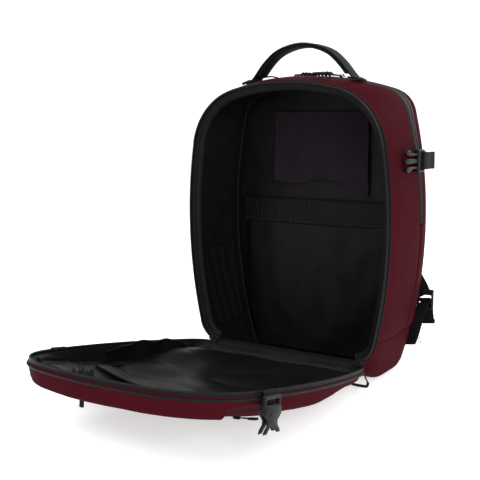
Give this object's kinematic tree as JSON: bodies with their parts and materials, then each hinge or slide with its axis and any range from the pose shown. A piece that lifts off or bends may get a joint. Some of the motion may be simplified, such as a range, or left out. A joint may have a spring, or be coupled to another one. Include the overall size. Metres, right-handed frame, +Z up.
{
  "type": "travel backpack",
  "caption": "Travel backpack standing with its domed front panel unzipped and folded down on its lower hinge, with pockets, grab handle, shoulder straps and side-release buckles.",
  "frame": {"origin": "middle of the flat base that the bag stands on", "axes": "+Z up the bag, +Y toward the wearer's back, +X toward the right side seen from the front"},
  "size_m": [0.369, 0.5747, 0.498],
  "materials": {
    "coated_fabric": "soft-touch coated twill, satin",
    "lining_fabric": "fine woven lining with a slight sheen",
    "padded_mesh": "foam under knitted mesh, matte",
    "webbing": "ribbed woven webbing",
    "zip_tape": "coated zip tape, satin",
    "buckle_plastic": "moulded, satin",
    "slider_metal": "black, satin",
    "pull_rubber": "cord with a moulded rubber grip, matte"
  },
  "bodies": {
    "bag": {"main_gusset": "coated_fabric", "rear_gusset": "coated_fabric", "bottom_panel": "coated_fabric", "laptop_zip_tape": "zip_tape", "back_panel": "padded_mesh", "divider_panel": "lining_fabric", "laptop_sleeve_pad": "padded_mesh", "lining_gusset": "lining_fabric", "body_zip": "zip_tape", "hinge_strip_body": "webbing", "slip_pocket": "lining_fabric", "elastic_band": "lining_fabric", "pocket_gusset": "lining_fabric", "hanging_flap": "lining_fabric", "inner_side_pocket": "lining_fabric", "handle_foot_left": "webbing", "handle_foot_right": "webbing", "lumbar_pad": "padded_mesh", "back_pad_left": "padded_mesh", "back_pad_right": "padded_mesh", "luggage_sleeve": "webbing", "hang_loop": "webbing", "strap_webbing_left": "webbing", "strap_webbing_right": "webbing"},
    "front_panel": {"door_main_panel": "coated_fabric", "door_yoke_panel": "coated_fabric", "door_lining": "lining_fabric", "door_inner_pocket": "lining_fabric", "door_flap": "lining_fabric", "door_zip": "zip_tape", "hinge_strip_door": "webbing", "pocket_zip_upper": "zip_tape", "pocket_zip_lower": "zip_tape", "buckle_tab_left": "webbing", "buckle_tab_right": "webbing"},
    "handle": {"handle": "webbing"},
    "main_slider_right": {"main_slider_right": "slider_metal"},
    "main_pull_right": {"main_pull_right": "pull_rubber"},
    "main_slider_left": {"main_slider_left": "slider_metal"},
    "main_pull_left": {"main_pull_left": "pull_rubber"},
    "laptop_slider_left": {"laptop_slider_left": "slider_metal"},
    "laptop_pull_left": {"laptop_pull_left": "pull_rubber"},
    "laptop_slider_right": {"laptop_slider_right": "slider_metal"},
    "laptop_pull_right": {"laptop_pull_right": "pull_rubber"},
    "pocket_slider_upper": {"pocket_slider_upper": "slider_metal"},
    "pocket_pull_upper": {"pocket_pull_upper": "pull_rubber"},
    "pocket_slider_lower": {"pocket_slider_lower": "slider_metal"},
    "pocket_pull_lower": {"pocket_pull_lower": "pull_rubber"},
    "buckle_socket_right": {"buckle_female_right": "buckle_plastic"},
    "buckle_plug_right": {"buckle_male_right": "buckle_plastic", "side_strap_right": "webbing"},
    "buckle_socket_left": {"buckle_female_left": "buckle_plastic"},
    "buckle_plug_left": {"buckle_male_left": "buckle_plastic", "side_strap_left": "webbing"},
    "shoulder_strap_right": {"shoulder_pad_right": "padded_mesh", "strap_adjuster_right": "buckle_plastic"},
    "chest_strap_right": {"chest_strap_right": "webbing"},
    "shoulder_strap_left": {"shoulder_pad_left": "padded_mesh", "strap_adjuster_left": "buckle_plastic"},
    "chest_strap_left": {"chest_strap_left": "webbing"}
  },
  "joints": [
    {"name": "front_panel_hinge", "type": "hinge", "parent": "bag", "child": "front_panel", "pos_m": [0, -0.103, 0.039], "axis": [1, 0, 0], "range_deg": [-81.2, 0]},
    {"name": "handle_fold", "type": "hinge", "parent": "bag", "child": "handle", "pos_m": [0, -0.038, 0.4475], "axis": [1, 0, 0], "range_deg": [-25, 30], "stiffness_Nm_per_rad": 0.08},
    {"name": "main_slider_right_travel", "type": "hinge", "parent": "bag", "child": "main_slider_right", "pos_m": [0.11396, -0.1, 0.081], "axis": [0, -1, 0], "range_deg": [0, 55]},
    {"name": "main_pull_right_swing", "type": "hinge", "parent": "main_slider_right", "child": "main_pull_right", "pos_m": [0.13298, -0.1003, 0.03522], "axis": [0, -1, 0], "range_deg": [-15, 75]},
    {"name": "main_slider_left_travel", "type": "hinge", "parent": "bag", "child": "main_slider_left", "pos_m": [-0.11396, -0.1, 0.081], "axis": [0, 1, 0], "range_deg": [0, 55]},
    {"name": "main_pull_left_swing", "type": "hinge", "parent": "main_slider_left", "child": "main_pull_left", "pos_m": [-0.13298, -0.1003, 0.03522], "axis": [0, 1, 0], "range_deg": [-15, 75]},
    {"name": "laptop_slider_left_travel", "type": "hinge", "parent": "bag", "child": "laptop_slider_left", "pos_m": [0, 0.007, 0.05], "axis": [0, 1, 0], "range_deg": [-9, 7]},
    {"name": "laptop_pull_left_lift", "type": "hinge", "parent": "laptop_slider_left", "child": "laptop_pull_left", "pos_m": [-0.06749, 0, 0.44711], "axis": [0, 1, 0], "range_deg": [0, 100]},
    {"name": "laptop_slider_right_travel", "type": "hinge", "parent": "bag", "child": "laptop_slider_right", "pos_m": [0, 0.007, 0.05], "axis": [0, 1, 0], "range_deg": [-10, 1]},
    {"name": "laptop_pull_right_lift", "type": "hinge", "parent": "laptop_slider_right", "child": "laptop_pull_right", "pos_m": [0.04026, 0.0018, 0.45058], "axis": [-0.995, 0, 0.1], "range_deg": [0, 10]},
    {"name": "pocket_slider_upper_travel", "type": "hinge", "parent": "front_panel", "child": "pocket_slider_upper", "pos_m": [0, -0.33889, 0.47623], "axis": [0, -0.9882, 0.153], "range_deg": [-0.1, 26.6]},
    {"name": "pocket_pull_upper_swing", "type": "hinge", "parent": "pocket_slider_upper", "child": "pocket_pull_upper", "pos_m": [-0.105, -0.40657, 0.03903], "axis": [1, 0, 0], "range_deg": [-50, 50]},
    {"name": "pocket_slider_lower_travel", "type": "hinge", "parent": "front_panel", "child": "pocket_slider_lower", "pos_m": [0, -0.25686, 0.46354], "axis": [0, -0.9882, 0.153], "range_deg": [-25.2, 2.1]},
    {"name": "pocket_pull_lower_swing", "type": "hinge", "parent": "pocket_slider_lower", "child": "pocket_pull_lower", "pos_m": [0.0876, -0.32626, 0.01524], "axis": [0, 0.9882, -0.153], "range_deg": [0, 70]},
    {"name": "buckle_socket_right_swing", "type": "hinge", "parent": "front_panel", "child": "buckle_socket_right", "pos_m": [0.17353, -0.38723, 0.07895], "axis": [0, -0.9882, 0.153], "range_deg": [0, 140]},
    {"name": "buckle_plug_right_swing", "type": "hinge", "parent": "bag", "child": "buckle_plug_right", "pos_m": [0.16845, 0.031, 0.326], "axis": [0, 0, 1], "range_deg": [0, 90]},
    {"name": "buckle_socket_left_swing", "type": "hinge", "parent": "front_panel", "child": "buckle_socket_left", "pos_m": [-0.17353, -0.38723, 0.07895], "axis": [0, 0.9882, -0.153], "range_deg": [0, 140]},
    {"name": "buckle_plug_left_swing", "type": "hinge", "parent": "bag", "child": "buckle_plug_left", "pos_m": [-0.16845, 0.031, 0.326], "axis": [0, 0, -1], "range_deg": [0, 90]},
    {"name": "shoulder_strap_right_swing", "type": "hinge", "parent": "bag", "child": "shoulder_strap_right", "pos_m": [0.058, 0.0575, 0.433], "axis": [1, 0, 0], "range_deg": [0, 15]},
    {"name": "chest_strap_right_slide", "type": "slide", "parent": "shoulder_strap_right", "child": "chest_strap_right", "axis": [-0.1829, 0, 0.9831], "range_m": [-0.035, 0.035]},
    {"name": "shoulder_strap_left_swing", "type": "hinge", "parent": "bag", "child": "shoulder_strap_left", "pos_m": [-0.058, 0.0575, 0.433], "axis": [1, 0, 0], "range_deg": [0, 15]},
    {"name": "chest_strap_left_slide", "type": "slide", "parent": "shoulder_strap_left", "child": "chest_strap_left", "axis": [0.1829, 0, 0.9831], "range_m": [-0.035, 0.035]}
  ]
}
